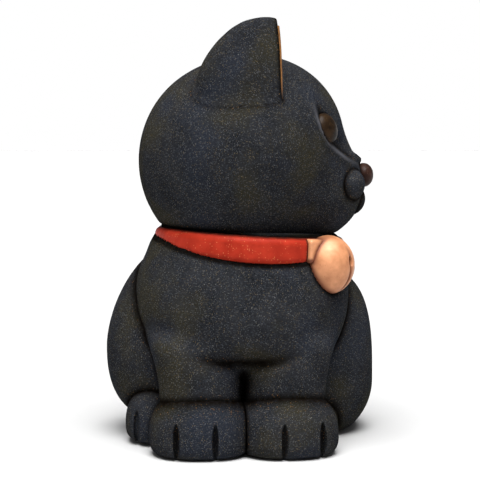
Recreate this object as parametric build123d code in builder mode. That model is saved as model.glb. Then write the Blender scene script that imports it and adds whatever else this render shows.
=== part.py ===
"""Sitting cat figurine of fired clay, hand-assembled from moulded and pressed pieces.

Millimetres, +Z up, the cat's chest towards -Y and its right side towards -X.  The origin lies on the
resting face, on the body's centre line.  The head is turned to the cat's left, nearly along +X.
"""

from build123d import *

import os
from math import atan2, cos, degrees, radians, sin

# ---------------------------------------------------------------- driving dimensions
WALL = 4.0                      # thickness of the slip-cast body and head
HEAD_TURN = 85.0                # degrees, the face turned from -Y towards +X
NECK_TILT = 3.5                 # degrees, the neck joint drops towards the cat's left
NECK_CENTRE = (2.3, 0.0, 57.7)
NECK_RADIUS = 21.5              # floor of the collar's groove
JOINT_HEIGHT = 2.5              # of the body and head joint over the neck's centre
SPIGOT_RADIUS = 15.0            # upstand of the body that enters the head
SPIGOT_HEIGHT = 5.0
SPIGOT_BORE = 9.0               # air way between the two cavities
AIR_WAY_DEPTH = 22.0
DRAIN_RADIUS = 3.5              # slip drain hole in the base
DRAIN_Y = 14.0
CLEAR_RADIUS = 60.0             # wider than the whole figurine

COLLAR_RADIUS = 27.1            # crown of the strap
COLLAR_THIN = 2.4               # the strap's height round the nape
COLLAR_DEEP = 9.0               # more than its height over the chest
COLLAR_FOOT = 3.1               # the dipping lower edge over the neck's centre
COLLAR_DIP = 15.1               # degrees, the fall of the lower edge towards the chest
COLLAR_EDGE = 1.0

# height, half width, half depth, centre x, centre y of the trunk
TRUNK = [
    (0.0, 20.5, 22.2, 0.0, 12.2),
    (18.0, 23.4, 27.6, 0.0, 7.4),
    (29.0, 28.2, 32.4, -0.2, 0.9),
    (40.0, 30.8, 31.2, -0.1, -0.8),
    (50.0, 30.1, 28.4, 0.4, -0.7),
    (57.0, 27.6, 25.2, 1.4, -0.1),
    (64.0, 22.4, 21.6, 2.2, 0.0),
]
CAVITY_SECTIONS = 5             # the hollow follows this many of the trunk's sections
LEG_MIDDLE = -1.5               # the gap between the forelegs
# height, half width, half depth, centre x from the gap, centre y of one foreleg
FORELEG = [
    (0.0, 11.2, 10.9, 11.8, -19.4),
    (14.0, 11.3, 11.4, 11.8, -19.4),
    (22.0, 11.6, 12.2, 12.0, -18.5),
    (31.0, 8.6, 9.6, 12.2, -17.6),
]
# Radii of the rounded pieces: half width, half depth, height over and under the centre.
PAW_RADII = (13.1, 14.2, 12.6, 10.0)
PAW_CENTRE = (13.15, -22.8, 4.5)
PAW_BACK = 19.0                 # the paws end this far in front of the body's centre
TOE_PLACES = {"right": (-5.2, 5.3), "left": (-4.2, 6.5)}
TOE_GROOVE = (1.0, 3.4, 5.0)
TOE_GROOVE_Y = -38.0
TOE_GROOVE_Z = 5.2
HAUNCH_RADII = {"right": (19.6, 22.5, 30.4, 22.6), "left": (19.7, 23.0, 33.7, 19.3)}
HAUNCH_POWERS = {"right": (1.67, 2.5), "left": (3.1, 2.0)}
HAUNCH_CENTRES = {"right": (-19.9, 9.0, 25.9), "left": (20.7, 12.0, 15.1)}
HIND_PAW_RADII = {"right": (8.5, 11.6, 11.5, 10.0), "left": (6.4, 11.0, 8.6, 8.0)}
HIND_PAW_CENTRES = {"right": (-25.6, -5.2, 5.0), "left": (21.6, -2.4, 5.0)}
PAW_POWERS = (2.6, 3.0)
HIND_PAW_POWERS = (2.2, 2.2)
PROFILE_STEPS = 7

CRANIUM_RADII = (30.5, 27.7, 29.0)
CRANIUM_CENTRE = (0.0, 2.2, 80.7)
FOREHEAD_RADII = (28.5, 24.5, 25.2)
FOREHEAD_CENTRE = (0.0, -5.3, 85.5)
MUZZLE_RADII = (17.5, 18.3, 16.5)
MUZZLE_CENTRE = (0.0, -17.0, 73.4)
EYE_RADII = (4.0, 2.3, 4.3)
EYE_PLACE = (17.0, -23.6, 89.9)
EYE_LEAN = -20.0                # degrees, the top of the eye set back
NOSE_RADII = (4.2, 2.8, 3.5)
NOSE_CENTRE = (0.0, -35.5, 76.5)
PAD_RADII = (7.0, 4.75, 4.9)
PAD_CENTRE = (7.0, -30.5, 73.9)
CHIN_RADII = (5.4, 5.2, 5.0)
CHIN_CENTRE = (0.0, -30.8, 69.6)

# height, half width, half depth, centre x, centre y of one ear, in the head's own directions
EAR = [
    (90.0, 10.8, 14.9, 17.2, -0.7),
    (104.0, 8.4, 13.5, 18.3, -1.3),
    (111.0, 6.2, 11.5, 19.4, -2.7),
    (116.0, 4.2, 8.8, 20.2, -4.3),
    (119.0, 3.0, 5.6, 20.6, -5.8),
    (120.5, 1.2, 2.6, 20.7, -6.6),
]
EAR_FRONT = -11.1               # the flat the ear's opening is cut in
EAR_SCOOP_RADII = (6.0, 4.2, 10.6)
EAR_SCOOP_PLACE = (18.6, -11.6, 104.0)
EAR_LINING = 0.9
EAR_PEG_RADIUS = 2.2
EAR_PEG_PLACE = (18.4, 1.0, 102.8)
EAR_PEG_LENGTH = 8.0

BELL_AZIMUTH = -43.8            # degrees from +X, round the neck
BELL_RADII = (6.8, 6.8, 8.0)
BELL_REACH = 28.6               # from the neck's axis to the bell's centre
BELL_HEIGHT = 51.7
BELL_SLOT_AZIMUTH = -38.0
BELL_SLOT = (8.4, 0.9, 2.4)     # length, width, depth
BELL_SLOT_DROP = 1.2            # its middle under the bell's centre
BELL_HOLE = (0.95, 1.5)
BELL_HOLE_RISE = 1.2
BELL_PEG_RADIUS = 1.8
BELL_PEG_LENGTH = 9.5
HANGER_HALF_ANGLE = 17.0
HANGER_FOOT = -4.3              # from the neck's centre
HANGER_HEIGHT = 7.2
HANGER_RADIUS = 28.3
HANGER_REACH = 40.0             # the sector's corners lie outside the band

TAIL_RADIUS = 5.6
TAIL_RING = 34.6                # the curl's radius about the body's centre line
TAIL_START = 74.0               # degrees from +X
TAIL_SWEEP = 45.0
TAIL_END_BEVEL = 2.4

SIDES = {"right": -1, "left": 1}
neck_plane = Plane(Location(NECK_CENTRE, (0, NECK_TILT, 0)))
joint_plane = neck_plane.offset(JOINT_HEIGHT)
os.makedirs("parts", exist_ok=True)


def ovoid(centre, radii, turn=0.0, lean=0.0):
    """An ellipsoid: a half ellipse revolved about Z, then drawn out along Y, leant and turned."""
    width, depth, height = radii
    with BuildPart() as solid:
        with BuildSketch(Plane.XZ):
            Ellipse(width, height)
            Rectangle(2 * width, 3 * height, align=(Align.MAX, Align.CENTER), mode=Mode.SUBTRACT)
        revolve(axis=Axis.Z)
        scale(by=(1, depth / width, 1))
    leant = solid.part.moved(Location((0, 0, 0), (lean, 0, 0)))
    return leant.moved(Location(centre, (0, 0, turn)))


def egg(centre, radii, powers):
    """A boxy or pointed ellipsoid, with its own height and fullness over and under its centre."""
    width, depth, above, under = radii
    profile = []
    for step in range(-PROFILE_STEPS, PROFILE_STEPS + 1):
        share = sin(radians(90.0 * abs(step) / PROFILE_STEPS))
        height, power = (above, powers[0]) if step > 0 else (-under, powers[1])
        profile.append((width * (1 - share**power) ** (1 / power), height * share))
    with BuildPart() as solid:
        with BuildSketch(Plane.XZ):
            with BuildLine():
                curve = Spline(*profile, tangents=((1, 0), (-1, 0)))
                Line(curve @ 1, curve @ 0)
            make_face()
        revolve(axis=Axis.Z)
        scale(by=(1, depth / width, 1))
    return solid.part.moved(Location(centre))


def stack(sections, side=1, inset=0.0):
    """A smooth loft through level ellipses."""
    with BuildPart() as solid:
        for height, half_width, half_depth, x, y in sections:
            with BuildSketch(Plane((side * x, y, height))):
                Ellipse(half_width - inset, half_depth - inset)
        loft()
    return solid.part


def finish(piece, name):
    piece.part.label = name
    export_step(piece.part, f"parts/{name}.step")


def head_place(x, y, z):
    """A point of the head, given with the face towards -Y, in the figurine's own directions."""
    turn = radians(HEAD_TURN)
    return (x * cos(turn) - y * sin(turn), x * sin(turn) + y * cos(turn), z)


def head_ovoid(centre, radii, turn=0.0, lean=0.0):
    return ovoid(head_place(*centre), radii, HEAD_TURN + turn, lean)


# ---------------------------------------------------------------- shapes shared by neighbours
with BuildPart() as above_neck:
    with BuildSketch(joint_plane):
        Circle(CLEAR_RADIUS)
    extrude(amount=CLEAR_RADIUS)

with BuildPart() as below_neck:
    with BuildSketch(joint_plane):
        Circle(CLEAR_RADIUS)
    extrude(amount=-CLEAR_RADIUS)

with BuildPart() as collar_wedge:
    with BuildSketch(joint_plane):
        Circle(CLEAR_RADIUS)
    extrude(amount=-COLLAR_DEEP)
    foot_plane = neck_plane.offset(COLLAR_FOOT) * Location((0, 0, 0), (COLLAR_DIP, 0, 0))
    split(bisect_by=Plane(foot_plane), keep=Keep.TOP)

with BuildPart() as collar_level:
    with BuildSketch(joint_plane):
        Circle(CLEAR_RADIUS)
    extrude(amount=-COLLAR_THIN)

with BuildPart() as neck_column:
    with BuildSketch(joint_plane):
        Circle(NECK_RADIUS)
    extrude(amount=-2 * COLLAR_DEEP)
    add(neck_column.part.moved(Location((0, 0, COLLAR_DEEP))))
collar_space = collar_wedge.part + collar_level.part - neck_column.part

bell_turn = radians(BELL_AZIMUTH)
bell_centre = (
    NECK_CENTRE[0] + BELL_REACH * cos(bell_turn),
    NECK_CENTRE[1] + BELL_REACH * sin(bell_turn),
    BELL_HEIGHT,
)
bell_body = ovoid(bell_centre, BELL_RADII)

with BuildPart() as bell_peg:
    with BuildSketch(Plane(bell_centre, z_dir=(-cos(bell_turn), -sin(bell_turn), 0))):
        Circle(BELL_PEG_RADIUS)
    extrude(amount=BELL_PEG_LENGTH)

trunk = stack(TRUNK)
forelegs = {
    name: stack(FORELEG, side).moved(Location((LEG_MIDDLE, 0, 0))) for name, side in SIDES.items()
}
haunches = {
    name: egg(HAUNCH_CENTRES[name], HAUNCH_RADII[name], HAUNCH_POWERS[name]) for name in SIDES
}
hind_paws = {
    name: egg(HIND_PAW_CENTRES[name], HIND_PAW_RADII[name], HIND_PAW_POWERS) for name in SIDES
}

# ---------------------------------------------------------------- body casting
with BuildPart() as body_casting:
    add(trunk)
    for foreleg in forelegs.values():
        add(foreleg)
    add(above_neck.part, mode=Mode.SUBTRACT)
    add(collar_space, mode=Mode.SUBTRACT)
    with BuildSketch(joint_plane):
        Circle(SPIGOT_RADIUS)
    extrude(amount=SPIGOT_HEIGHT)
    cavity = [(max(z, WALL), a, b, x, y) for z, a, b, x, y in TRUNK[:CAVITY_SECTIONS]]
    add(stack(cavity, inset=WALL), mode=Mode.SUBTRACT)
    with BuildSketch(joint_plane.offset(SPIGOT_HEIGHT)):
        Circle(SPIGOT_BORE)
    extrude(amount=-AIR_WAY_DEPTH, mode=Mode.SUBTRACT)
    with BuildSketch(Plane((0, DRAIN_Y, 0))):
        Circle(DRAIN_RADIUS)
    extrude(amount=WALL + 1, mode=Mode.SUBTRACT)
    add(bell_body, mode=Mode.SUBTRACT)
    add(bell_peg.part, mode=Mode.SUBTRACT)
finish(body_casting, "body_casting")

# ---------------------------------------------------------------- paws and haunches
front_paws = {}
for name, side in SIDES.items():
    x, y, z = PAW_CENTRE
    x = LEG_MIDDLE + side * x
    with BuildPart() as paw:
        add(egg((x, y, z), PAW_RADII, PAW_POWERS))
        split(bisect_by=Plane.XY, keep=Keep.TOP)
        split(bisect_by=Plane.YZ.offset(LEG_MIDDLE), keep=Keep.TOP if side > 0 else Keep.BOTTOM)
        split(bisect_by=Plane.XZ.offset(PAW_BACK), keep=Keep.TOP)
        add(body_casting.part, mode=Mode.SUBTRACT)
        for place in TOE_PLACES[name]:
            groove = ovoid((x + place, TOE_GROOVE_Y, TOE_GROOVE_Z), TOE_GROOVE)
            add(groove, mode=Mode.SUBTRACT)
    front_paws[name] = paw
    finish(paw, f"{name}_front_paw")

for name in SIDES:
    with BuildPart() as haunch:
        add(haunches[name])
        split(bisect_by=Plane.XY, keep=Keep.TOP)
        for neighbour in (hind_paws[name], trunk, forelegs[name], front_paws[name].part):
            add(neighbour, mode=Mode.SUBTRACT)
    finish(haunch, f"{name}_haunch")
    with BuildPart() as hind_paw:
        add(hind_paws[name])
        split(bisect_by=Plane.XY, keep=Keep.TOP)
        for neighbour in (trunk, forelegs[name], front_paws[name].part):
            add(neighbour, mode=Mode.SUBTRACT)
    finish(hind_paw, f"{name}_hind_paw")

# ---------------------------------------------------------------- tail
with BuildPart() as tail:
    with BuildSketch(Plane.XZ.rotated((0, 0, TAIL_START))):
        with Locations((TAIL_RING, TAIL_RADIUS)):
            Circle(TAIL_RADIUS)
    revolve(axis=Axis.Z, revolution_arc=TAIL_SWEEP)
    chamfer(tail.faces().filter_by(GeomType.PLANE).edges(), TAIL_END_BEVEL)
    add(trunk, mode=Mode.SUBTRACT)
finish(tail, "tail")

# ---------------------------------------------------------------- head casting
head_shape = head_ovoid(CRANIUM_CENTRE, CRANIUM_RADII) + head_ovoid(FOREHEAD_CENTRE, FOREHEAD_RADII)
head_shape = head_shape + head_ovoid(MUZZLE_CENTRE, MUZZLE_RADII)
head_turned = Location((0, 0, 0), (0, 0, HEAD_TURN))
eye_turn = degrees(atan2(EYE_PLACE[0], -EYE_PLACE[1]))
eye_shapes = {
    name: head_ovoid(
        (side * EYE_PLACE[0], EYE_PLACE[1], EYE_PLACE[2]), EYE_RADII, side * eye_turn, EYE_LEAN
    )
    for name, side in SIDES.items()
}
ear_pegs = {}
for name, side in SIDES.items():
    x, y, z = EAR_PEG_PLACE
    with BuildPart() as peg_column:
        with BuildSketch(Plane(head_place(side * x, y, z))):
            Circle(EAR_PEG_RADIUS)
        extrude(amount=EAR_PEG_LENGTH)
    ear_pegs[name] = peg_column.part

with BuildPart() as head_casting:
    add(head_shape)
    add(below_neck.part, mode=Mode.SUBTRACT)
    inner = tuple(radius - WALL for radius in CRANIUM_RADII)
    cavity = head_ovoid(CRANIUM_CENTRE, inner) - below_neck.part.moved(Location((0, 0, WALL)))
    add(cavity, mode=Mode.SUBTRACT)
    with BuildSketch(joint_plane):
        Circle(SPIGOT_RADIUS)
    extrude(amount=SPIGOT_HEIGHT, mode=Mode.SUBTRACT)
    for name in SIDES:
        add(eye_shapes[name], mode=Mode.SUBTRACT)
        add(ear_pegs[name], mode=Mode.SUBTRACT)
    add(bell_body, mode=Mode.SUBTRACT)
finish(head_casting, "head_casting")

# ---------------------------------------------------------------- eyes, nose, muzzle
for name in SIDES:
    with BuildPart() as eye:
        add(eye_shapes[name])
    finish(eye, f"{name}_eye")

pads = {}
for name, side in SIDES.items():
    x, y, z = PAD_CENTRE
    with BuildPart() as pad:
        add(head_ovoid((side * x, y, z), PAD_RADII))
        add(head_shape, mode=Mode.SUBTRACT)
        middle = Plane.YZ.rotated((0, 0, HEAD_TURN))
        split(bisect_by=middle, keep=Keep.TOP if side > 0 else Keep.BOTTOM)
    pads[name] = pad
    finish(pad, f"{name}_whisker_pad")

for name, centre, radii in (("chin", CHIN_CENTRE, CHIN_RADII), ("nose", NOSE_CENTRE, NOSE_RADII)):
    with BuildPart() as feature:
        add(head_ovoid(centre, radii))
        for neighbour in (head_shape, *[pad.part for pad in pads.values()]):
            add(neighbour, mode=Mode.SUBTRACT)
    finish(feature, name)

# ---------------------------------------------------------------- ears and their linings
for name, side in SIDES.items():
    x, y, z = EAR_SCOOP_PLACE
    with BuildPart() as ear_shape:
        add(stack(EAR, side))
        split(bisect_by=Plane.XZ.offset(-EAR_FRONT), keep=Keep.BOTTOM)
    scoop = ovoid((side * x, y, z), EAR_SCOOP_RADII)
    inner_scoop = ovoid((side * x, y, z), tuple(radius - EAR_LINING for radius in EAR_SCOOP_RADII))
    with BuildPart() as ear:
        add((ear_shape.part - scoop).moved(head_turned))
        add(head_shape, mode=Mode.SUBTRACT)
        add(ear_pegs[name] & head_shape)
    finish(ear, f"{name}_ear")
    with BuildPart() as lining:
        add(((scoop - inner_scoop) & ear_shape.part).moved(head_turned))
        add(head_shape, mode=Mode.SUBTRACT)
    finish(lining, f"{name}_ear_lining")

# ---------------------------------------------------------------- collar, hanger and bell
with BuildPart() as hanger_space:
    direction = (cos(bell_turn), sin(bell_turn), 0)
    hanger_plane = Plane(neck_plane.origin, x_dir=direction, z_dir=neck_plane.z_dir)
    with BuildSketch(hanger_plane.offset(HANGER_FOOT)):
        Circle(HANGER_RADIUS)
        Circle(NECK_RADIUS, mode=Mode.SUBTRACT)
        corner = HANGER_REACH * sin(radians(HANGER_HALF_ANGLE))
        with BuildLine():
            Polyline((0, 0), (HANGER_REACH, corner), (HANGER_REACH, -corner), close=True)
        make_face(mode=Mode.INTERSECT)
    extrude(amount=HANGER_HEIGHT)

with BuildPart() as collar:
    with BuildSketch(joint_plane):
        Circle(COLLAR_RADIUS)
    extrude(amount=-2 * COLLAR_DEEP)
    add(collar_space, mode=Mode.INTERSECT)
    fillet(collar.faces().sort_by(SortBy.AREA)[-2:].edges().group_by(SortBy.LENGTH)[-1], COLLAR_EDGE)
    add(hanger_space.part, mode=Mode.SUBTRACT)
    add(bell_body, mode=Mode.SUBTRACT)
    add(bell_peg.part, mode=Mode.SUBTRACT)
finish(collar, "collar")

with BuildPart() as bell_hanger:
    add(hanger_space.part)
    for neighbour in (body_casting, head_casting):
        add(neighbour.part, mode=Mode.SUBTRACT)
    add(bell_body, mode=Mode.SUBTRACT)
    add(bell_peg.part, mode=Mode.SUBTRACT)
finish(bell_hanger, "bell_hanger")

slot_turn = radians(BELL_SLOT_AZIMUTH)
slot_out = (cos(slot_turn), sin(slot_turn), 0)
slot_plane = Plane(bell_centre, x_dir=(-slot_out[1], slot_out[0], 0), z_dir=slot_out)
with BuildPart() as bell:
    add(bell_body)
    add(bell_peg.part)
    length, width, depth = BELL_SLOT
    with BuildSketch(slot_plane.offset(BELL_RADII[0] - depth)):
        with Locations((0, -BELL_SLOT_DROP)):
            SlotOverall(length, width, rotation=90)
        with Locations((0, BELL_HOLE_RISE)):
            Ellipse(*BELL_HOLE)
    extrude(amount=2 * depth, mode=Mode.SUBTRACT)
finish(bell, "bell")
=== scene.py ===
"""Sitting cat figurine in matt speckled clay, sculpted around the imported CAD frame.

Every piece is an implicit shape in millimetres, meshed on a grid and stored in metres.  The frame's
directions hold: +Z up, the chest towards -Y, the cat's right side towards -X, the face nearly +X.
"""

import math

import bpy
import numpy as np
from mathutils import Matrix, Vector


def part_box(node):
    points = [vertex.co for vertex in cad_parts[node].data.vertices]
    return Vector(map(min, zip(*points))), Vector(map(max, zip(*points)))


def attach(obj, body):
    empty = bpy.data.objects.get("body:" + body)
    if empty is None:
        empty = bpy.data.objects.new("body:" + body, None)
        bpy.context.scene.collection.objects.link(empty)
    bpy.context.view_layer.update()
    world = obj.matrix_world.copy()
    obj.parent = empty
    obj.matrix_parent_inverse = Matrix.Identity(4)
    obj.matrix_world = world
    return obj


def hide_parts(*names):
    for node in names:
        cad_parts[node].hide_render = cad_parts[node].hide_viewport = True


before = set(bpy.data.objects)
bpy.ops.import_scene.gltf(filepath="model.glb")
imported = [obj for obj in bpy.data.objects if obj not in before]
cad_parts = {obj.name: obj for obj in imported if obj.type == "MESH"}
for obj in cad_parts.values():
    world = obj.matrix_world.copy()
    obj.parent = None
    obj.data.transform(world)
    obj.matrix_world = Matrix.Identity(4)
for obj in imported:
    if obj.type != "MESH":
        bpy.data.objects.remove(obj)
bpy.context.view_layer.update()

MM = 0.001
SIDES = {"right": -1, "left": 1}

# ---------------------------------------------------------------- camera, stage and light
CAMERA_AZIMUTH = -5.0
CAMERA_PITCH = 3.8
CAMERA_DISTANCE = 0.408
CAMERA_HEIGHT = 0.0846
CAMERA_SIDE = -0.0005
SENSOR_MM = 36.0
LENS_MM = 105.0
FLOOR_SIZE = 60.0           # metres, so that its edge is lost at the horizon
FLOOR_GREY = 0.50
WORLD_FADE = (0.11, 0.18, 1.0, 0.12)    # sine of the height above the horizon, and brightness
SUN_STRENGTH = 6.6
SUN_SPREAD = 44.0
SUN_TURN = (17.0, -1.0, 0.0)
KEY_PLACE = (-0.35, -0.75, 0.8)
KEY_TARGET = (0, 0, 0.07)
KEY_SIZE = 0.5
KEY_POWER = 1.0


def make_camera():
    turn = math.radians(CAMERA_AZIMUTH)
    data = bpy.data.cameras.new("camera")
    data.sensor_width = SENSOR_MM
    data.lens = LENS_MM
    camera = bpy.data.objects.new("camera", data)
    camera.location = (
        CAMERA_DISTANCE * math.sin(turn) + CAMERA_SIDE * math.cos(turn),
        -CAMERA_DISTANCE * math.cos(turn) + CAMERA_SIDE * math.sin(turn),
        CAMERA_HEIGHT,
    )
    camera.rotation_euler = (math.radians(90 - CAMERA_PITCH), 0, turn)
    bpy.context.collection.objects.link(camera)
    bpy.context.scene.camera = camera


def make_area_light(name, place, target, size, power):
    data = bpy.data.lights.new(name, "AREA")
    data.shape = "DISK"
    data.size = size
    data.energy = power
    lamp = bpy.data.objects.new(name, data)
    lamp.location = place
    away = np.array(place) - np.array(target)
    yaw = math.atan2(away[0], -away[1])
    tilt = math.atan2(math.hypot(away[0], away[1]), away[2])
    lamp.rotation_euler = (tilt, 0, yaw)
    bpy.context.collection.objects.link(lamp)


def make_stage():
    mesh = bpy.data.meshes.new("floor")
    half = FLOOR_SIZE / 2
    corners = [(-half, -half, 0), (half, -half, 0), (half, half, 0), (-half, half, 0)]
    mesh.from_pydata(corners, [], [(0, 1, 2, 3)])
    floor = bpy.data.objects.new("floor", mesh)
    bpy.context.collection.objects.link(floor)
    material = bpy.data.materials.new("floor_paper")
    material.use_nodes = True
    shader = material.node_tree.nodes["Principled BSDF"]
    shader.inputs["Base Color"].default_value = (FLOOR_GREY, FLOOR_GREY, FLOOR_GREY, 1)
    shader.inputs["Roughness"].default_value = 0.9
    mesh.materials.append(material)

    scene = bpy.context.scene
    scene.view_settings.view_transform = "Standard"
    world = bpy.data.worlds.new("studio")
    world.use_nodes = True
    nodes, links = world.node_tree.nodes, world.node_tree.links
    direction = nodes.new("ShaderNodeTexCoord")
    split = nodes.new("ShaderNodeSeparateXYZ")
    links.new(direction.outputs["Generated"], split.inputs["Vector"])
    fade = nodes.new("ShaderNodeMapRange")
    fade.interpolation_type = "SMOOTHSTEP"
    links.new(split.outputs["Z"], fade.inputs["Value"])
    for key, value in zip(("From Min", "From Max", "To Min", "To Max"), WORLD_FADE):
        fade.inputs[key].default_value = value
    links.new(fade.outputs["Result"], nodes["Background"].inputs["Strength"])
    nodes["Background"].inputs["Color"].default_value = (1, 1, 1, 1)
    scene.world = world

    data = bpy.data.lights.new("skylight", "SUN")
    data.energy = SUN_STRENGTH
    data.angle = math.radians(SUN_SPREAD)
    sun = bpy.data.objects.new("skylight", data)
    sun.rotation_euler = [math.radians(angle) for angle in SUN_TURN]
    bpy.context.collection.objects.link(sun)
    make_area_light("key", KEY_PLACE, KEY_TARGET, KEY_SIZE, KEY_POWER)


# ---------------------------------------------------------------- implicit shapes
# A shape is a function of an array of points (n, 3), in millimetres, that is negative inside.


def smooth_min(a, b, reach):
    """Union of two shapes with a fillet of about the given reach."""
    share = np.clip(0.5 + 0.5 * (b - a) / reach, 0, 1)
    return b + (a - b) * share - reach * share * (1 - share)


def smooth_max(a, b, reach):
    return -smooth_min(-a, -b, reach)


def turned(points, degrees):
    """Points seen from directions turned about Z by the given angle."""
    angle = math.radians(degrees)
    x = points[:, 0] * math.cos(angle) + points[:, 1] * math.sin(angle)
    y = -points[:, 0] * math.sin(angle) + points[:, 1] * math.cos(angle)
    return np.column_stack([x, y, points[:, 2]])


def ellipsoid(points, centre, radii):
    offset = points - np.array(centre)
    scaled = offset / np.array(radii)
    k0 = np.linalg.norm(scaled, axis=1)
    k1 = np.linalg.norm(scaled / np.array(radii), axis=1)
    return k0 * (k0 - 1) / np.maximum(k1, 1e-6)


def superegg(points, centre, radii, power, tall=None, below=None):
    """A boxy ellipsoid; tall is the upright power, below the height and power under the centre."""
    offset = np.abs(points - np.array(centre))
    wide, deep, high = radii
    tall = tall or power
    low, low_tall = below or (high, tall)
    under = points[:, 2] < centre[2]
    height = np.where(under, low, high)
    upright = np.where(under, low_tall, tall)
    level = ((offset[:, 0] / wide) ** power + (offset[:, 1] / deep) ** power) ** (1 / power)
    total = (level**upright + (offset[:, 2] / height) ** upright) ** (1 / upright)
    return (total - 1) * min(radii)


def capsule(points, start, end, radius_start, radius_end):
    start = np.array(start, float)
    along = np.array(end, float) - start
    share = np.clip((points - start) @ along / (along @ along), 0, 1)
    nearest = start + share[:, None] * along
    radius = radius_start + share * (radius_end - radius_start)
    return np.linalg.norm(points - nearest, axis=1) - radius


def spline(heights, values, at):
    """Smooth interpolation through a few values: cubic Hermite, slopes from the neighbours."""
    heights = np.array(heights, float)
    values = np.array(values, float)
    slopes = np.gradient(values, heights)
    at = np.clip(at, heights[0], heights[-1])
    index = np.clip(np.searchsorted(heights, at) - 1, 0, len(heights) - 2)
    gap = heights[index + 1] - heights[index]
    t = (at - heights[index]) / gap
    low, high = values[index], values[index + 1]
    return (
        (2 * t**3 - 3 * t**2 + 1) * low
        + (t**3 - 2 * t**2 + t) * gap * slopes[index]
        + (3 * t**2 - 2 * t**3) * high
        + (t**3 - t**2) * gap * slopes[index + 1]
    )


def lofted(points, sections, side=1, power=2.0):
    """A stack of level ovals: rows of height, x from, x to, y from, y to."""
    heights, left, right, front, back = np.array(sections, float).T
    z = points[:, 2]
    left, right = spline(heights, left, z), spline(heights, right, z)
    front, back = spline(heights, front, z), spline(heights, back, z)
    half_x, half_y = (right - left) / 2, (back - front) / 2
    x = (side * points[:, 0] - (left + right) / 2) / half_x
    y = (points[:, 1] - (front + back) / 2) / half_y
    total = (np.abs(x) ** power + np.abs(y) ** power) ** (1 / power)
    return (total - 1) * np.minimum(half_x, half_y)


# ---------------------------------------------------------------- meshing
EDGES = [
    (corner, corner | bit) for bit in (1, 2, 4) for corner in range(8) if not corner & bit
]


def corner_slice(corner, axis_lengths):
    return tuple(
        slice((corner >> axis) & 1, axis_lengths[axis] - 1 + ((corner >> axis) & 1))
        for axis in range(3)
    )


def surface_net(shape, low, high, step):
    """Vertices and quads of a shape's surface inside a box: one vertex in each cell it crosses."""
    counts = [int(math.ceil((high[a] - low[a]) / step)) + 1 for a in range(3)]
    axes = [low[a] + step * np.arange(counts[a]) for a in range(3)]
    grid = np.stack(np.meshgrid(*axes, indexing="ij"), axis=-1).reshape(-1, 3)
    values = shape(grid).reshape(counts)
    corners = [values[corner_slice(c, counts)] for c in range(8)]
    inside = sum((c < 0).astype(int) for c in corners)
    mixed = (inside > 0) & (inside < 8)
    cells = np.argwhere(mixed)
    corner_values = np.stack([c[mixed] for c in corners], axis=1)
    total = np.zeros((len(cells), 3))
    crossings = np.zeros(len(cells))
    for a, b in EDGES:
        va, vb = corner_values[:, a], corner_values[:, b]
        crosses = (va < 0) != (vb < 0)
        share = np.where(crosses, va / np.where(crosses, va - vb, 1), 0)
        place_a = np.array([(a >> k) & 1 for k in range(3)], float)
        place_b = np.array([(b >> k) & 1 for k in range(3)], float)
        place = place_a + share[:, None] * (place_b - place_a)
        total += np.where(crosses[:, None], place, 0)
        crossings += crosses
    vertices = np.array(low) + step * (cells + total / crossings[:, None])
    number = np.full(mixed.shape, -1)
    number[mixed] = np.arange(len(cells))

    quads = []
    for axis in range(3):
        one, two = (axis + 1) % 3, (axis + 2) % 3
        first = [slice(1, n - 1) for n in counts]
        second = list(first)
        first[axis] = slice(0, counts[axis] - 1)
        second[axis] = slice(1, counts[axis])
        start, end = values[tuple(first)] < 0, values[tuple(second)] < 0
        where = np.argwhere(start != end)
        offset = np.ones(3, int)
        offset[axis] = 0
        cell = where + offset
        outward = start[tuple(where.T)]
        ring = []
        for step_one, step_two in ((1, 1), (0, 1), (0, 0), (1, 0)):
            corner = cell.copy()
            corner[:, one] -= step_one
            corner[:, two] -= step_two
            ring.append(number[tuple(corner.T)])
        ring = np.stack(ring, axis=1)
        ring[~outward] = ring[~outward][:, ::-1]
        quads.append(ring)
    return vertices, np.concatenate(quads)


def slope(shape, points, reach):
    columns = []
    for axis in range(3):
        shift = np.zeros(3)
        shift[axis] = reach
        columns.append((shape(points + shift) - shape(points - shift)) / (2 * reach))
    return np.stack(columns, axis=1)


def settle(shape, points, step, rounds=3):
    """Moves points on to the surface itself, never further than a grid step."""
    for _ in range(rounds):
        value = shape(points)
        normal = slope(shape, points, step * 0.15)
        size = np.maximum(np.sum(normal**2, axis=1), 0.05)
        move = -(value / size)[:, None] * normal
        length = np.linalg.norm(move, axis=1)
        move *= np.minimum(1, 0.5 * step / np.maximum(length, 1e-9))[:, None]
        points = points + move
    return points


def clay(name, node, shape, material, shade_and_rust, painted_gleam=None, *, step, margin=3.0):
    """Meshes a shape in the space around its CAD node and makes it a piece of the figurine."""
    low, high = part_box(node)
    low = np.array(low) / MM - margin
    high = np.array(high) / MM + margin
    vertices, quads = surface_net(shape, low, high, step)
    vertices = settle(shape, vertices, step)
    mesh = bpy.data.meshes.new(name)
    mesh.vertices.add(len(vertices))
    mesh.vertices.foreach_set("co", (vertices * MM).astype(np.float32).ravel())
    mesh.loops.add(quads.size)
    mesh.loops.foreach_set("vertex_index", quads.astype(np.int32).ravel())
    mesh.polygons.add(len(quads))
    mesh.polygons.foreach_set("loop_start", np.arange(0, quads.size, 4, dtype=np.int32))
    mesh.polygons.foreach_set("use_smooth", np.ones(len(quads), dtype=bool))
    mesh.update(calc_edges=True)
    mesh.validate()
    # First mark: painted shade near creases and between pieces, which also places the clay's rust
    # specks; second mark: a painted highlight
    for key, mark in (("shade_and_rust", shade_and_rust), ("painted_gleam", painted_gleam)):
        attribute = mesh.attributes.new(key, "FLOAT", "POINT")
        amount = np.zeros(len(vertices)) if mark is None else np.clip(mark(vertices), 0, 1)
        attribute.data.foreach_set("value", amount.astype(np.float32))
    mesh.materials.append(material)
    piece = bpy.data.objects.new(name, mesh)
    bpy.context.collection.objects.link(piece)
    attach(piece, "root")
    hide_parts(node)


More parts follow.
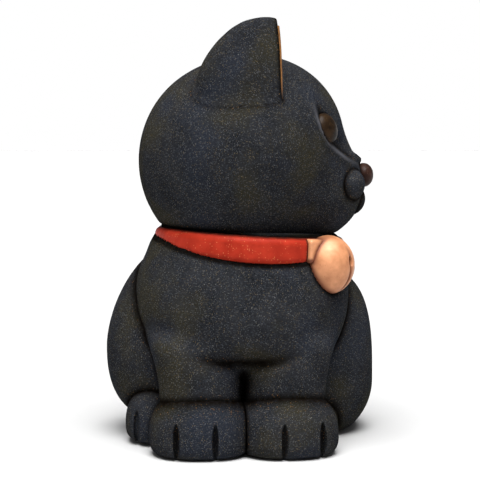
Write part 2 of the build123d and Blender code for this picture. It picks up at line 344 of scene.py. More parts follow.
# ---------------------------------------------------------------- the cat's forms
HEAD_TURN = 85.0            # degrees to the cat's left
NECK_CENTRE = np.array([2.3, 0.0, 57.7])
NECK_TILT = 3.5
COLLAR_RING = 24.8
COLLAR_HALF = 2.8
COLLAR_OVAL = 0.955         # the ring's width over its depth
TRUNK_TOP = 3.4             # this and the next two are heights over the ring's middle
HEAD_FOOT = 2.9
COLLAR_TOP = 2.5
COLLAR_THIN = 4.2           # the strap's height at the nape
COLLAR_DIP = (-1.0, 0.15)   # the dip's slanted line: height beside the neck, rise per mm to the nape
COLLAR_CORNER = 2.2
SLIT_AZIMUTH = -38.0
BELL_AZIMUTH = -43.8

# height, x from, x to, y from, y to
TRUNK = [
    (-6, -20.0, 20.0, -8.0, 33.5),
    (0, -20.5, 20.5, -10.0, 34.5),
    (12, -21.5, 21.5, -14.0, 35.5),
    (20, -24.0, 24.0, -18.5, 35.2),
    (25, -26.2, 26.2, -27.6, 34.4),
    (29, -28.4, 28.0, -31.6, 33.4),
    (33, -29.8, 29.4, -32.4, 32.2),
    (37, -30.8, 30.4, -32.4, 31.2),
    (41, -31.0, 30.8, -31.8, 30.2),
    (46, -30.7, 30.8, -30.6, 28.9),
    (50, -29.7, 30.5, -29.2, 27.8),
    (54, -27.9, 29.9, -27.2, 26.4),
    (57, -26.7, 29.0, -25.4, 25.2),
    (60, -25.0, 27.2, -23.0, 23.4),
    (66, -20.0, 22.6, -19.0, 19.4),
]
LEG_MIDDLE = -1.5
FORELEG = [
    (-6, 0.5, 23.0, -30.0, -8.5),
    (6, 0.5, 23.1, -30.6, -8.2),
    (13, 0.5, 23.1, -30.8, -8.0),
    (18, 0.5, 23.4, -30.8, -6.5),
    (22, 0.5, 24.0, -30.8, -6.0),
    (26, 0.5, 25.0, -30.4, -5.5),
    (30, 0.7, 26.4, -29.6, -4.5),
    (34, 1.0, 27.4, -28.4, -4.0),
    (40, 1.6, 27.4, -27.0, -3.0),
]
FORELEG_TOP = 33.0
FOLD_MIDDLE = -1.8
FOLD_HEIGHT = 25.4
FOLD_BEND = 0.0075
FOLD_HALF = 12.5
FOLD_DEPTH = 1.3
CREASES_FROM = 14           # the chest's creases show from this far forward
SPLIT_HALF = 1.9
SPLIT_TOP = 25.5


def belly_fold(p, width):
    """The crease under the belly, from 0 to 1."""
    across = p[:, 0] - FOLD_MIDDLE
    height = p[:, 2] - FOLD_HEIGHT - FOLD_BEND * across**2
    reach = np.exp(-((across / FOLD_HALF) ** 4)) * np.clip((-p[:, 1] - CREASES_FROM) / 8, 0, 1)
    return np.exp(-((height / width) ** 2)) * reach


def split_shade(p):
    """The dark line between the forelegs, from 0 to 1."""
    front = np.clip((-p[:, 1] - CREASES_FROM) / 6, 0, 1) * np.clip((SPLIT_TOP - p[:, 2]) / 4, 0, 1)
    return np.exp(-(((p[:, 0] - LEG_MIDDLE) / SPLIT_HALF) ** 2)) * front


def trunk(p):
    q = p - np.array([LEG_MIDDLE, 0, 0])
    legs = smooth_min(*[lofted(q, FORELEG, side, power=2.5) for side in SIDES.values()], 0.8)
    legs = smooth_max(legs, p[:, 2] - FORELEG_TOP, 6.0)
    return smooth_min(lofted(p, TRUNK, power=2.15), legs, 3.0) + FOLD_DEPTH * belly_fold(p, 1.3)


PAW_CENTRE = (11.9, -22.8, 4.5)
PAW_RADII = (14.35, 14.3, 12.6)
PAW_FULLNESS = (2.35, 2.6, (7.6, 2.4))
PAW_TURN = 4.0
PAW_STEP = 0.45             # the left paw stands this far forward and the right one back
PAW_GAP = 0.05              # from each paw to the plane between them
PAW_GROOVES = {-1: (-6.45, 4.05), 1: (-2.95, 7.75)}
GROOVE_HALF = 0.9
GROOVE_DEPTH = 1.8
GROOVE_HEIGHT = 5.2
GROOVE_REACH = 5.0


def toe_groove(q, middle, half=GROOVE_HALF):
    """How deep inside one toe groove points are, from 0 to 1."""
    reach = np.clip(1 - np.abs((q[:, 2] - GROOVE_HEIGHT) / GROOVE_REACH) ** 2.4, 0, 1)
    width = np.maximum(half * reach**0.7, 1e-3)
    inside = np.clip(1 - (np.abs(q[:, 0] - middle) / width) ** 2, 0, 1)
    return inside**0.5 * reach**0.5 * np.clip((-q[:, 1] - 2.0) / 3.0, 0, 1)


def paw_form(side):
    centre = np.array([LEG_MIDDLE + side * PAW_CENTRE[0], PAW_CENTRE[1] - PAW_STEP * side, 0])

    def local(p):
        return turned(p - centre, side * PAW_TURN)

    def form(p):
        q = local(p)
        bun = superegg(q, (0, 0, PAW_CENTRE[2]), PAW_RADII, *PAW_FULLNESS)
        for middle in PAW_GROOVES[side]:
            bun = bun + GROOVE_DEPTH * toe_groove(q, middle)
        return bun

    def shade(p):
        q = local(p)
        return 0.8 * np.maximum(*[toe_groove(q, middle) for middle in PAW_GROOVES[side]])

    return form, shade


# centre, radii, level power, upright power, and the height and power under the centre
HAUNCHES = {
    -1: ((-19.9, 9.0, 25.9), (19.6, 22.5, 30.4), 2.2, 1.67, (22.6, 2.5)),
    1: ((20.7, 12.0, 15.1), (19.7, 23.0, 33.7), 2.2, 3.1, (19.3, 2.0)),
}


def haunch(side):
    return lambda p: superegg(p, *HAUNCHES[side])


RIGHT_HIND_PAW = (0, 0, 5.0), (8.5, 11.6, 11.5), 2.2, 2.2, (7.4, 2.2)
RIGHT_HIND_PLACE = (-25.6, -5.2, 0)
LEFT_HIND_PAW = (21.6, -2.4, 5.0), (6.4, 11.0, 8.6), 2.2
HIND_GROOVES = (-5.3, 0.4)
HIND_GROOVE_DEPTH = 1.3
HIND_GROOVE_HALF = 0.8


def hind_paw(side):
    if side > 0:
        return lambda p: superegg(p, *LEFT_HIND_PAW)

    def form(p):
        q = p - np.array(RIGHT_HIND_PLACE)
        bun = superegg(q, *RIGHT_HIND_PAW)
        for middle in HIND_GROOVES:
            bun = bun + HIND_GROOVE_DEPTH * toe_groove(q, middle, HIND_GROOVE_HALF)
        return bun

    return form


EYE_PLACE = (17.0, -23.6, 89.9)
EYE_RADII = (4.0, 2.3, 4.3)
EYE_LEAN = 20.0


def eye_directions(p, side):
    """Directions of one eye: the cheek towards +X, outwards towards -Y, the brow towards +Z."""
    x, y, z = EYE_PLACE
    facing = math.degrees(math.atan2(x, -y))
    lean = math.radians(EYE_LEAN)
    q = turned(p * np.array([side, 1, 1]) - np.array([x, y, z]), facing)
    deep = q[:, 1] * math.cos(lean) - q[:, 2] * math.sin(lean)
    up = q[:, 1] * math.sin(lean) + q[:, 2] * math.cos(lean)
    return np.column_stack([q[:, 0], deep, up])


def eye_form(side):
    return lambda p: ellipsoid(eye_directions(p, side), (0, 0, 0), EYE_RADII)


# The cheek's front edge, from the temple round the eye to the nose: forward, height, and how far
# the face is sunk in front of it.
CHEEK_EDGE = [
    (19.6, 99.0, 0.0),
    (20.3, 96.5, 0.3),
    (21.3, 92.5, 1.8),
    (22.6, 89.3, 2.8),
    (24.6, 85.9, 2.8),
    (27.1, 83.7, 2.2),
    (30.2, 81.5, 0.9),
    (33.4, 79.9, 0.1),
]
CHEEK_FADE = 3.4            # how far forward the sunk face rises back to the skull
CHEEK_STEP = (0.35, 1.1)    # where the step down starts behind the edge, and how wide it is
CHEEK_BRIDGE = (1.5, 5.0)   # the face isn't sunk this near its middle, and fully this much wider
CHEEK_BEAD = 0.55
BEAD_LINE = (-1.0, 0.9)     # how far in front of the edge it lies, and its half width
SHADE_LINE = (0.7, 0.6)
GLEAM_LINE = (-0.45, 0.42)
BRIDGE_HALF = 2.0           # half width of the bridge, which the lines don't cross


def cheek_edge(p):
    """Distance in front of the cheek's edge, in side view, and the sink at the nearest spot."""
    spot = np.column_stack([-p[:, 1], p[:, 2]])
    nearest = np.full(len(p), 1e3)
    front = np.zeros(len(p))
    sink = np.zeros(len(p))
    for (u0, z0, sink0), (u1, z1, sink1) in zip(CHEEK_EDGE, CHEEK_EDGE[1:]):
        start, along = np.array([u0, z0]), np.array([u1 - u0, z1 - z0])
        offset = spot - start
        share = np.clip(offset @ along / (along @ along), 0, 1)
        gap = offset - share[:, None] * along
        distance = np.linalg.norm(gap, axis=1)
        closer = distance < nearest
        side = np.sign(gap @ np.array([-along[1], along[0]]))
        nearest = np.where(closer, distance, nearest)
        front = np.where(closer, side * distance, front)
        sink = np.where(closer, sink0 + share * (sink1 - sink0), sink)
    return front, sink


def beside(front, line):
    """How close points are to a line along the cheek's edge, from 0 to 1."""
    ahead, half = line
    return np.exp(-(((front - ahead) / half) ** 2))


def face_relief(p):
    """How far the face lies under the round skull: sunk in front of the cheek's edge, proud on it."""
    front, sink = cheek_edge(p)
    behind, width = CHEEK_STEP
    step = np.clip((front + behind) / width, 0, 1)
    step = step * step * (3 - 2 * step)
    bridge, wider = CHEEK_BRIDGE
    middle = np.clip((np.abs(p[:, 0]) - bridge) / wider, 0, 1)
    hollow = sink * step * np.exp(-((np.maximum(front, 0) / CHEEK_FADE) ** 2)) * middle
    bead = CHEEK_BEAD * np.clip(sink, 0, 1) * beside(front, BEAD_LINE)
    return hollow - bead


def cheek_shade(p):
    """The dark line in front of the cheek's edge, from 0 to 1."""
    front, sink = cheek_edge(p)
    return 0.8 * np.clip(sink, 0, 1) * beside(front, SHADE_LINE) * (np.abs(p[:, 0]) > BRIDGE_HALF)


def cheek_gleam(p):
    """The painted highlight along the cheek's edge, from 0 to 1."""
    front, sink = cheek_edge(p)
    return np.clip(sink / 2, 0, 1) * beside(front, GLEAM_LINE) * (np.abs(p[:, 0]) > BRIDGE_HALF)


def head_directions(p):
    """Head directions: the face towards -Y, the cat's right towards -X."""
    return turned(p, HEAD_TURN)


# centre and radii of the head's rounded masses, in head directions
CRANIUM = (0, 2.2, 80.7), (30.5, 27.7, 29.0)
FOREHEAD = (0, -5.3, 85.5), (28.5, 24.5, 25.2)
MUZZLE = (0, -17.0, 73.4), (17.5, 18.3, 16.5)
BRIDGE_KNOT = (3.4, -31.8, 81.8), (0, -33.7, 80.9), 1.3, 1.1


def skull(p):
    """The head without ears, eyes and muzzle pieces, in head directions."""
    form = ellipsoid(p, *CRANIUM)
    for swelling in (FOREHEAD, MUZZLE):
        form = smooth_min(form, ellipsoid(p, *swelling), 5.0)
    knot = np.minimum(capsule(p, *BRIDGE_KNOT), capsule(p * np.array([-1, 1, 1]), *BRIDGE_KNOT))
    return smooth_min(form, knot, 1.4) + face_relief(p)


EAR = [
    (88, 6.0, 26.6, -16.0, 14.6),
    (96, 6.6, 26.8, -15.6, 14.0),
    (101, 8.4, 26.8, -15.2, 13.0),
    (106, 10.8, 26.4, -14.8, 11.7),
    (111, 13.2, 25.5, -14.3, 8.9),
    (115, 15.4, 24.6, -13.4, 5.4),
    (118, 17.0, 23.9, -12.2, 1.5),
    (119.6, 17.8, 23.4, -10.6, -1.9),
    (120.4, 18.3, 23.1, -8.8, -4.8),
    (123, 19.2, 22.6, -7.4, -6.6),
]
EAR_POWER = 2.15
EAR_TOP = 120.1
EAR_FOOT = 91.0
EAR_FRONT = -10.75          # at the next height, leaning back above it
EAR_FRONT_LEVEL = 104.0
EAR_FRONT_LEAN = 0.045
EAR_FRONT_CURL = (110.0, 0.005)
EAR_RIM = 1.1
EAR_DISH = 3.6              # how far inside the rim the hollow is at its deepest
EAR_HOLLOW = 3.2
EAR_DISH_PLANE = EAR_FRONT + 2.5    # the section whose outline is the rim
LINING_HALF = 0.42
LINING_INSET = 0.2


def ear_outline(p, side):
    form = lofted(p, EAR, side, power=EAR_POWER)
    form = smooth_max(form, p[:, 2] - EAR_TOP, 1.6)
    return np.maximum(form, EAR_FOOT - p[:, 2])


def ear_front(p, side):
    """Distance in front of the ear's open side, which is dished inside its rim."""
    level, curl = EAR_FRONT_CURL
    back = EAR_FRONT_LEAN * (p[:, 2] - EAR_FRONT_LEVEL) + curl * np.maximum(p[:, 2] - level, 0) ** 2
    flat = EAR_FRONT + back - p[:, 1]
    inner = np.column_stack([p[:, 0], np.full(len(p), EAR_DISH_PLANE), p[:, 2]])
    inset = np.clip((-ear_outline(inner, side) - EAR_RIM) / EAR_DISH, 0, 1)
    return flat + EAR_HOLLOW * inset * inset * (3 - 2 * inset)


def ring_directions(p):
    """Directions of the tilted collar, from the middle of its ring."""
    q = p - NECK_CENTRE
    tilt = math.radians(NECK_TILT)
    x = q[:, 0] * math.cos(tilt) - q[:, 2] * math.sin(tilt)
    z = q[:, 0] * math.sin(tilt) + q[:, 2] * math.cos(tilt)
    return np.column_stack([x, q[:, 1], z])


def collar_foot(q):
    """Height of the strap's lower edge, which dips over the chest."""
    low, fall = COLLAR_DIP
    return smooth_min(COLLAR_TOP - COLLAR_THIN + 0 * q[:, 1], low + fall * q[:, 1], 1.5)


def collar_form(p):
    q = ring_directions(p)
    out = np.hypot(q[:, 0], q[:, 1] * COLLAR_OVAL) - COLLAR_RING
    a = np.abs(out) - (COLLAR_HALF - COLLAR_CORNER)
    b = np.maximum(q[:, 2] - COLLAR_TOP, collar_foot(q) - q[:, 2]) + COLLAR_CORNER
    outside = np.hypot(np.maximum(a, 0), np.maximum(b, 0))
    return outside + np.minimum(np.maximum(a, b), 0) - COLLAR_CORNER


bell_turn = math.radians(BELL_AZIMUTH)
BELL_REACH = 28.0
BELL_CENTRE = np.array([
    NECK_CENTRE[0] + BELL_REACH * math.cos(bell_turn),
    BELL_REACH * math.sin(bell_turn),
    51.7,
])
BELL_RADII = (7.5, 7.5, 8.3)
SLIT_HALF = 0.42
SLIT_DROP = 3.0
SLIT_REACH = 4.6
SLIT_FLOOR = 4.3            # from the bell's axis
SLIT_SHADE = (0.75, 1.8, 7.4)   # half width, drop and reach of the dark line along it
HOLE_RADII = (0.95, 1.5)
HOLE_RISE = 1.2
BELL_BACK = (1.0, 4.0)      # where the bell darkens towards the chest, and over what depth
HANGER_RING = (25.8, 2.9)   # radius, and half thickness
HANGER_LEVEL = (-0.9, 3.3)  # middle, and half height
HANGER_HALF_ANGLE = 17.0
HANGER_REACH = 27           # radius at which its ends are measured
HANGER_SHADE = (2.5, 0.8)   # level where its edges darken, and over what height


def bell_directions(p):
    """Directions of the bell, its slit towards -Y."""
    return turned(p - BELL_CENTRE, SLIT_AZIMUTH + 90)


def bell_form(p):
    q = bell_directions(p)
    form = ellipsoid(q, (0, 0, 0), BELL_RADII)
    slit = np.maximum(np.abs(q[:, 0]) - SLIT_HALF, np.abs(q[:, 2] + SLIT_DROP) - SLIT_REACH)
    hole = np.hypot(q[:, 0] / HOLE_RADII[0], (q[:, 2] - HOLE_RISE) / HOLE_RADII[1]) - 1
    cut = np.maximum(np.minimum(slit, hole), q[:, 1] + SLIT_FLOOR)
    return smooth_max(form, -cut, 0.35)


def hanger_form(p):
    q = ring_directions(p)
    out = np.hypot(q[:, 0], q[:, 1] * COLLAR_OVAL)
    angle = np.degrees(np.arctan2(q[:, 1], q[:, 0])) - BELL_AZIMUTH
    radial = np.abs(out - HANGER_RING[0]) - HANGER_RING[1]
    upright = np.abs(q[:, 2] - HANGER_LEVEL[0]) - HANGER_LEVEL[1]
    ends = np.radians(np.abs(angle) - HANGER_HALF_ANGLE) * HANGER_REACH
    return smooth_max(smooth_max(radial, upright, 1.2), ends, 0.8)


# ---------------------------------------------------------------- marks and cuts
# A mark is a function of an array of points that says how much painted shade or painted highlight each
# one gets, from 0 to 1.


def crease(shape, width):
    """How close points are to a neighbour's surface, from 0 to 1."""
    return lambda p: np.exp(-np.clip(shape(p), -width, None) ** 2 / width**2)


def band(shape, width):
    """A dark line of the given width along a neighbour's surface, fading at its edge."""
    return lambda p: 0.95 * np.clip((width - shape(p)) / (0.4 * width), 0, 1)


def middle_plane(x=0.0):
    """Distance from the upright plane between the two sides."""
    return lambda p: np.abs(p[:, 0] - x)


def any_of(*marks):
    """The strongest of several marks."""

    def mark(p):
        amount = np.zeros(len(p))
        for one in marks:
            amount = np.maximum(amount, one(p))
        return amount

    return mark


def standing(shape, round_edge=1.6):
    """A shape cut off flat at the floor, with a soft lower edge."""
    return lambda p: smooth_max(shape(p), -p[:, 2], round_edge)


def one_side(shape, side, middle=0.0, gap=0.0):
    """The half of a shape that lies on one side of an upright plane, with a gap to the plane."""
    return lambda p: np.maximum(shape(p), gap - side * (p[:, 0] - middle))


BITE = 0.25


def without(shape, *neighbours):
    """A shape that ends a little inside its neighbours' surfaces."""

    def form(p):
        value = shape(p)
        for neighbour in neighbours:
            value = np.maximum(value, -neighbour(p) - BITE)
        return value

    return form


# ---------------------------------------------------------------- materials
class Nodes:
    """A short way to build a procedural material."""

    def __init__(self, name):
        self.material = bpy.data.materials.new(name)
        self.material.use_nodes = True
        self.tree = self.material.node_tree
        self.shader = self.tree.nodes["Principled BSDF"]
        self.place = self.tree.nodes.new("ShaderNodeTexCoord").outputs["Object"]
        # Point attributes: painted shade near creases (which also places rust specks), and a painted
        # highlight on the cheek's edge
        self.shade_and_rust = self.add("ShaderNodeAttribute", attribute_name="shade_and_rust").outputs["Fac"]
        self.painted_gleam = self.add("ShaderNodeAttribute", attribute_name="painted_gleam").outputs["Fac"]

    def add(self, kind, inputs=None, **settings):
        node = self.tree.nodes.new(kind)
        for key, value in settings.items():
            setattr(node, key, value)
        for key, value in (inputs or {}).items():
            self.feed(node.inputs[key], value)
        return node

    def feed(self, socket, value):
        if isinstance(value, bpy.types.NodeSocket):
            self.tree.links.new(value, socket)
        else:
            socket.default_value = value

    def noise(self, scale, detail=3.0, roughness=0.5):
        inputs = {"Vector": self.place, "Scale": scale, "Detail": detail, "Roughness": roughness}
        return self.add("ShaderNodeTexNoise", inputs).outputs["Fac"]

    def ramp(self, factor, stops):
        node = self.add("ShaderNodeValToRGB", {"Fac": factor})
        elements = node.color_ramp.elements
        while len(elements) < len(stops):
            elements.new(0.5)
        for element, (position, colour) in zip(elements, stops):
            element.position = position
            element.color = (*colour, 1)
        return node.outputs["Color"]

    def mix(self, factor, a, b):
        """Mixes two colours; sockets 6, 7 and 2 are the node's colour sockets."""
        node = self.add("ShaderNodeMix", data_type="RGBA")
        self.feed(node.inputs["Factor"], factor)
        for socket, value in ((node.inputs[6], a), (node.inputs[7], b)):
            self.feed(socket, (*value, 1) if isinstance(value, tuple) else value)
        return node.outputs[2]

    def math(self, operation, a, b=0.0, clamp=False):
        node = self.add("ShaderNodeMath", operation=operation, use_clamp=clamp)
        self.feed(node.inputs[0], a)
        self.feed(node.inputs[1], b)
        return node.outputs["Value"]

    def spread(self, value, low, high, to_low=0.0, to_high=1.0):
        inputs = {
            "Value": value, "From Min": low, "From Max": high, "To Min": to_low, "To Max": to_high
        }
        return self.add("ShaderNodeMapRange", inputs).outputs["Result"]

    def specks(self, scale, share, size):
        """Round specks: a mask, and a random number for each speck."""
        inputs = {"Vector": self.place, "Scale": scale}
        cells = self.add("ShaderNodeTexVoronoi", inputs)
        parts = self.add("ShaderNodeSeparateColor", {"Color": cells.outputs["Color"]})
        chosen = self.math("GREATER_THAN", parts.outputs["Red"], 1 - share)
        near = self.spread(cells.outputs["Distance"], size, size * 0.5)
        return self.math("MULTIPLY", chosen, near), parts.outputs["Green"]

    def bump(self, height, distance, strength):
        inputs = {"Height": height, "Distance": distance, "Strength": strength}
        self.feed(self.shader.inputs["Normal"], self.add("ShaderNodeBump", inputs).outputs["Normal"])

    def set(self, **values):
        for key, value in values.items():
            self.feed(self.shader.inputs[key.replace("_", " ")], value)
        return self.material


SPECK_COLOURS = [
    (0.0, (0.038, 0.048, 0.066)),
    (0.45, (0.072, 0.077, 0.088)),
    (0.72, (0.170, 0.170, 0.170)),
    (0.86, (0.170, 0.130, 0.062)),
    (1.0, (0.095, 0.062, 0.030)),
]


def clay_material():
    """Matt blue-black clay with metallic specks and rust-brown specks by the creases; painted shade
    darkens the creases and a painted highlight lightens the cheek's edge.
    """
    n = Nodes("speckled_clay")
    mottle = n.noise(150, 5, 0.6)
    base = n.ramp(mottle, [(0.3, (0.0072, 0.0078, 0.0092)), (0.7, (0.0185, 0.0192, 0.0212))])
    base = n.mix(n.spread(n.noise(62, 2), 0.50, 0.66, 0.0, 0.8), base, (0.0260, 0.0225, 0.0110))
    base = n.mix(n.spread(n.noise(48, 2), 0.48, 0.36, 0.0, 0.8), base, (0.0130, 0.0160, 0.0240))
    grain = n.noise(2600, 2)
    base = n.mix(n.spread(grain, 0.35, 0.7, 0.0, 0.5), base, (0.031, 0.033, 0.038))
    fine, fine_kind = n.specks(3500, 0.52, 0.44)
    coarse, coarse_kind = n.specks(1900, 0.07, 0.28)
    base = n.mix(n.math("MULTIPLY", fine, 0.75), base, n.ramp(fine_kind, SPECK_COLOURS))
    base = n.mix(coarse, base, n.ramp(coarse_kind, SPECK_COLOURS))
    # painted shade: near-black brown in the creases and between pieces
    crease_shade = n.math("MULTIPLY", n.shade_and_rust, n.spread(n.noise(700, 3), 0.25, 0.6, 0.75, 1.0), True)
    base = n.mix(crease_shade, base, (0.0030, 0.0022, 0.0014))
    rust, _ = n.specks(2100, 0.10, 0.34)
    edge = n.math("MULTIPLY", n.spread(n.shade_and_rust, 0.04, 0.35), n.spread(n.shade_and_rust, 0.98, 0.6))
    # painted highlight: lighter grey along the cheek's edge
    base = n.mix(n.math("MULTIPLY", n.painted_gleam, 0.8), base, (0.085, 0.085, 0.095))
    base = n.mix(n.math("MULTIPLY", rust, edge), base, (0.17, 0.085, 0.028))
    n.bump(n.math("ADD", n.noise(1500, 3), n.noise(230, 2)), 0.00012, 0.35)
    dust = n.math("ADD", n.noise(420, 4), n.math("MULTIPLY", n.shade_and_rust, 0.5))
    rough = n.spread(dust, 0.3, 1.1, 0.50, 0.72)
    return n.set(Base_Color=base, Roughness=rough, Specular_IOR_Level=0.0)


def collar_material():
    """Satin red paint with gold dust, with painted shade along the strap's edges and beside the
    hanger.
    """
    n = Nodes("red_strap")
    base = n.ramp(n.noise(260, 4), [(0.3, (0.29, 0.018, 0.008)), (0.7, (0.44, 0.034, 0.015))])
    gold, kind = n.specks(2300, 0.20, 0.34)
    dust = n.ramp(kind, [(0, (0.60, 0.16, 0.04)), (1, (0.75, 0.36, 0.16))])
    base = n.mix(n.math("MULTIPLY", gold, 0.6), base, dust)
    # painted shade along the strap's edges and beside the hanger
    shade = n.math("MULTIPLY", n.shade_and_rust, n.spread(n.noise(500, 3), 0.2, 0.55, 0.6, 1.0), True)
    base = n.mix(shade, base, (0.030, 0.006, 0.004))
    n.bump(n.noise(1200, 3), 0.00010, 0.35)
    rough = n.spread(n.noise(500, 3), 0.3, 0.7, 0.40, 0.58)
    return n.set(Base_Color=base, Roughness=rough, Specular_IOR_Level=0.06)


def bell_material():
    """Peach-copper paint, with brown painted shade in the slit and on the side towards the chest."""
    n = Nodes("copper_paint")
    base = n.ramp(n.noise(300, 4), [(0.3, (0.46, 0.180, 0.075)), (0.7, (0.72, 0.325, 0.155))])
    pits, _ = n.specks(1500, 0.20, 0.22)
    base = n.mix(n.math("MULTIPLY", pits, 0.6), base, (0.36, 0.115, 0.045))
    # painted shade in the slit, towards the chest and beside the hanger
    shade = n.math("MULTIPLY", n.shade_and_rust, n.spread(n.noise(600, 3), 0.2, 0.6, 0.7, 1.0), True)
    base = n.mix(shade, base, (0.16, 0.040, 0.018))
    n.bump(n.math("SUBTRACT", n.noise(900, 3), n.math("MULTIPLY", pits, 0.8)), 0.00012, 0.4)
    rough = n.spread(n.noise(450, 3), 0.3, 0.7, 0.40, 0.55)
    return n.set(Base_Color=base, Metallic=0.15, Roughness=rough)


def lining_material():
    """Tan paint with gold dust for the insides of the ears."""
    n = Nodes("ear_paint")
    base = n.ramp(n.noise(350, 4), [(0.3, (0.13, 0.050, 0.007)), (0.7, (0.25, 0.098, 0.014))])
    gold, _ = n.specks(2300, 0.2, 0.34)
    base = n.mix(n.math("MULTIPLY", gold, 0.5), base, (0.55, 0.26, 0.06))
    # painted shade where the lining meets the skull
    base = n.mix(n.shade_and_rust, base, (0.020, 0.010, 0.006))
    n.bump(n.noise(1200, 3), 0.00010, 0.35)
    rough = n.spread(n.noise(400, 3), 0.3, 0.7, 0.45, 0.6)
    return n.set(Base_Color=base, Roughness=rough)


def eye_material():
    """Dark brown glaze with fine dust."""
    n = Nodes("eye_glaze")
    base = n.ramp(n.noise(420, 4), [(0.3, (0.005, 0.003, 0.002)), (0.7, (0.030, 0.016, 0.007))])
    gold, _ = n.specks(2800, 0.2, 0.36)
    base = n.mix(n.math("MULTIPLY", gold, 0.35), base, (0.14, 0.09, 0.05))
    # painted shade round the eye's edge, where it meets the skull
    base = n.mix(n.shade_and_rust, base, (0.006, 0.004, 0.003))
    n.bump(n.noise(1100, 2), 0.00005, 0.3)
    rough = n.spread(n.noise(500, 3), 0.3, 0.7, 0.30, 0.42)
    return n.set(Base_Color=base, Roughness=rough, Specular_IOR_Level=0.08)


def nose_material():
    """Dark red-brown glaze with fine dust."""
    n = Nodes("nose_glaze")
    base = n.ramp(n.noise(420, 4), [(0.3, (0.014, 0.006, 0.004)), (0.7, (0.034, 0.015, 0.011))])
    gold, _ = n.specks(2600, 0.18, 0.36)
    base = n.mix(n.math("MULTIPLY", gold, 0.4), base, (0.18, 0.11, 0.08))
    # painted shade where the nose meets the skull and the whisker pads
    base = n.mix(n.shade_and_rust, base, (0.008, 0.004, 0.003))
    n.bump(n.noise(1100, 3), 0.00008, 0.35)
    rough = n.spread(n.noise(500, 3), 0.3, 0.7, 0.36, 0.5)
    return n.set(Base_Color=base, Roughness=rough, Specular_IOR_Level=0.08)


# ---------------------------------------------------------------- the pieces
def in_head(form):
    """A form given in head directions, for points in the figurine's own."""
    return lambda p: form(head_directions(p))


def ear_form(side):
    """One ear, flaring a little where it meets the skull."""

    def form(p):
        flared = smooth_min(ear_outline(p, side), skull(p) + 0.35, 1.8)
        return smooth_max(flared, ear_front(p, side), 0.6)

    return form


def ear_root(side):
    """The ear without its flare, for the painted shade line round its foot."""
    return lambda p: np.maximum(ear_outline(p, side), ear_front(p, side))


def lining_form(side):
    """The painted sheet on the ear's open side."""

    def form(p):
        sheet = np.abs(ear_front(p, side)) - LINING_HALF
        return smooth_max(sheet, ear_outline(p, side) + LINING_INSET, 0.3)

    return form


def neck_level(p):
    return ring_directions(p)[:, 2]


def build_body(clay_paint):
    body = standing(trunk)
    body_piece = without(
        lambda p: smooth_max(body(p), neck_level(p) - TRUNK_TOP, 1.0), collar_form, bell_form
    )
    paws, paw_shades, haunches, hinds = {}, {}, {}, {}
    for name, side in SIDES.items():
        paws[name], paw_shades[name] = paw_form(side)
        haunches[name] = standing(haunch(side))
        hinds[name] = standing(hind_paw(side), 3.0)
    # All marks here are painted shade: in the creases between pieces, under the collar, between the
    # forelegs, under the belly and in the toe grooves
    marks = [crease(paw, 1.1) for paw in paws.values()]
    marks += [crease(lobe, 1.3) for lobe in haunches.values()]
    marks += [band(collar_form, 1.7), crease(hinds["right"], 1.0), crease(bell_form, 1.0)]
    marks += [split_shade, lambda p: belly_fold(p, 1.7)]
    clay("body", "body_casting", body_piece, clay_paint, any_of(*marks), step=0.6)
    for name, side in SIDES.items():
        half = one_side(standing(paws[name], 2.0), side, LEG_MIDDLE, PAW_GAP)
        # painted shade: the paw's top darkens towards the leg above it, as do its toe grooves and the
        # split between the paws
        marks = [paw_shades[name], crease(trunk, 2.8), crease(middle_plane(LEG_MIDDLE), 0.7)]
        clay(
            f"{name}_front_paw", f"{name}_front_paw", without(half, trunk),
            clay_paint, any_of(*marks), step=0.35,
        )
        marks = [crease(trunk, 1.3), crease(hinds[name], 1.2)]
        clay(
            f"{name}_haunch", f"{name}_haunch", without(haunches[name], trunk, hinds[name]),
            clay_paint, any_of(*marks), step=0.6,
        )
        marks = [crease(trunk, 1.2), crease(haunches[name], 1.2), crease(paws[name], 1.0)]
        clay(
            f"{name}_hind_paw", f"{name}_hind_paw", without(hinds[name], trunk, paws[name]),
            clay_paint, any_of(*marks), step=0.4,
        )


TAIL_RING = 34.6
TAIL_FROM, TAIL_TO = 78.0, 117.0    # degrees round the body
TAIL_STEPS = 12
TAIL_RADIUS = 5.9
TAIL_TAPER = 1.8
TAIL_SINK = 0.3             # into the floor, where it is cut off flat


def tail_form(p):
    """The tail, a tapering arc of capsules lying round the back."""
    form = np.full(len(p), 1e3)
    for step in range(TAIL_STEPS):
        ends = []
        for spot in (step, step + 1):
            share = spot / TAIL_STEPS
            angle = math.radians(TAIL_FROM + share * (TAIL_TO - TAIL_FROM))
            radius = TAIL_RADIUS - TAIL_TAPER * share
            x, y = TAIL_RING * math.cos(angle), TAIL_RING * math.sin(angle)
            ends.append(((x, y, radius - TAIL_SINK), radius))
        (start, r0), (end, r1) = ends
        form = np.minimum(form, capsule(p, start, end, r0, r1))
    return form


def build_tail(clay_paint):
    body = [standing(trunk), standing(haunch(-1)), standing(haunch(1))]
    # painted shade where the tail meets the body and haunches
    marks = [crease(form, 1.1) for form in body]
    form = without(standing(tail_form, 0.8), *body)
    clay("tail", "tail", form, clay_paint, any_of(*marks), step=0.45)


PAD = ((7.0, -30.5, 73.9), (7.0, 4.75, 4.9))
CHIN = ((0, -30.8, 69.6), (5.4, 5.2, 5.0))
NOSE = ((0, -35.5, 76.5), (4.2, 2.8, 3.5))


def pad_form(side):
    (x, y, z), radii = PAD
    return lambda p: ellipsoid(p, (side * x, y, z), radii)


def chin_form(p):
    return ellipsoid(p, *CHIN)


def nose_form(p):
    return ellipsoid(p, *NOSE)


def head_casting(p):
    return smooth_max(skull(head_directions(p)), HEAD_FOOT - neck_level(p), 1.0)


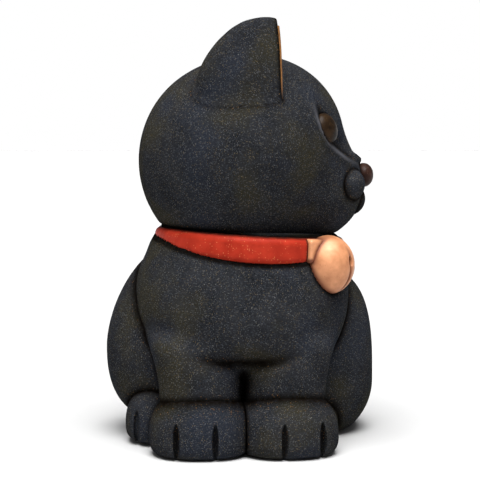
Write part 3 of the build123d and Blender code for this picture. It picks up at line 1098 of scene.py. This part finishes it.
def build_head(clay_paint, lining_paint, eye_paint, nose_paint):
    eyes = {name: eye_form(side) for name, side in SIDES.items()}
    pads = {name: pad_form(side) for name, side in SIDES.items()}
    # The marks are painted shade in the creases round the eyes, pads, chin, nose and ears, by the
    # collar and in front of the cheek's edge; cheek_gleam is a painted highlight
    marks = [
        crease(in_head(form), 0.55) for form in (*eyes.values(), *pads.values(), chin_form, nose_form)
    ]
    marks += [crease(in_head(ear_root(side)), 0.7) for side in SIDES.values()]
    marks += [crease(collar_form, 1.6), in_head(cheek_shade)]
    clay(
        "head", "head_casting", without(head_casting, *[in_head(e) for e in eyes.values()], bell_form),
        clay_paint, any_of(*marks), in_head(cheek_gleam), step=0.6,
    )
    for name, side in SIDES.items():
        lining = lining_form(side)
        clay(
            f"{name}_ear", f"{name}_ear", in_head(without(ear_form(side), skull, lining)),
            clay_paint, in_head(crease(lining, 0.45)), step=0.4, margin=6.0,
        )
        clay(
            f"{name}_ear_lining", f"{name}_ear_lining", in_head(without(lining, skull)),
            lining_paint, in_head(crease(skull, 1.2)), step=0.3,
        )
        clay(
            f"{name}_eye", f"{name}_eye", in_head(eyes[name]),
            eye_paint, in_head(crease(skull, 0.5)), step=0.22,
        )
        half = one_side(pads[name], side)
        marks = [crease(skull, 0.8), crease(nose_form, 0.7), crease(chin_form, 0.8)]
        marks += [crease(middle_plane(), 0.5)]
        clay(
            f"{name}_whisker_pad", f"{name}_whisker_pad", in_head(without(half, skull)),
            clay_paint, in_head(any_of(*marks)), step=0.25,
        )
    marks = [crease(skull, 0.8), *[crease(pad, 0.7) for pad in pads.values()]]
    clay(
        "chin", "chin", in_head(without(chin_form, skull, *pads.values())),
        clay_paint, in_head(any_of(*marks)), step=0.25,
    )
    marks = [crease(skull, 0.5), *[crease(pad, 0.4) for pad in pads.values()]]
    clay(
        "nose", "nose", in_head(without(nose_form, skull, *pads.values())),
        nose_paint, in_head(any_of(*marks)), step=0.22,
    )


def strap_edges(p):
    """The painted shade along the strap's upper and lower edges, from 0 to 1."""
    q = ring_directions(p)
    edge = np.maximum(q[:, 2] - COLLAR_TOP, collar_foot(q) - q[:, 2])
    return np.clip((edge + 0.8) / 0.7, 0, 1) ** 1.5


def hanger_edges(p):
    """The painted shade along the hanger's upper and lower edges, from 0 to 1."""
    level, height = HANGER_SHADE
    return np.clip((np.abs(neck_level(p)) - level) / height, 0, 1)


def bell_shade(p):
    """The painted shade in the bell's slit and on its side towards the chest, from 0 to 1."""
    q = bell_directions(p)
    half, drop, reach = SLIT_SHADE
    across = np.exp(-((q[:, 0] / half) ** 2))
    along = np.clip(1 - ((q[:, 2] + drop) / reach) ** 2, 0, 1) ** 0.5
    slit = across * along * (q[:, 1] < 0)
    start, depth = BELL_BACK
    back = np.clip((q[:, 1] - start) / depth, 0, 1)
    return np.maximum(slit, back)


def build_collar(strap_paint, bell_paint):
    # painted shade along the strap's edges and where the strap, hanger, bell and chest meet
    clay(
        "collar", "collar", without(collar_form, hanger_form, bell_form),
        strap_paint, any_of(strap_edges, crease(hanger_form, 0.6)), step=0.3,
    )
    clay(
        "bell_hanger", "bell_hanger", without(hanger_form, bell_form),
        bell_paint, any_of(crease(bell_form, 0.7), hanger_edges), step=0.25,
    )
    marks = [bell_shade, crease(trunk, 1.2), crease(hanger_form, 0.8)]
    clay("bell", "bell", bell_form, bell_paint, any_of(*marks), step=0.25)


def main():
    make_camera()
    make_stage()
    clay_paint = clay_material()
    bell_paint = bell_material()
    build_body(clay_paint)
    build_tail(clay_paint)
    build_head(clay_paint, lining_material(), eye_material(), nose_material())
    build_collar(collar_material(), bell_paint)


main()
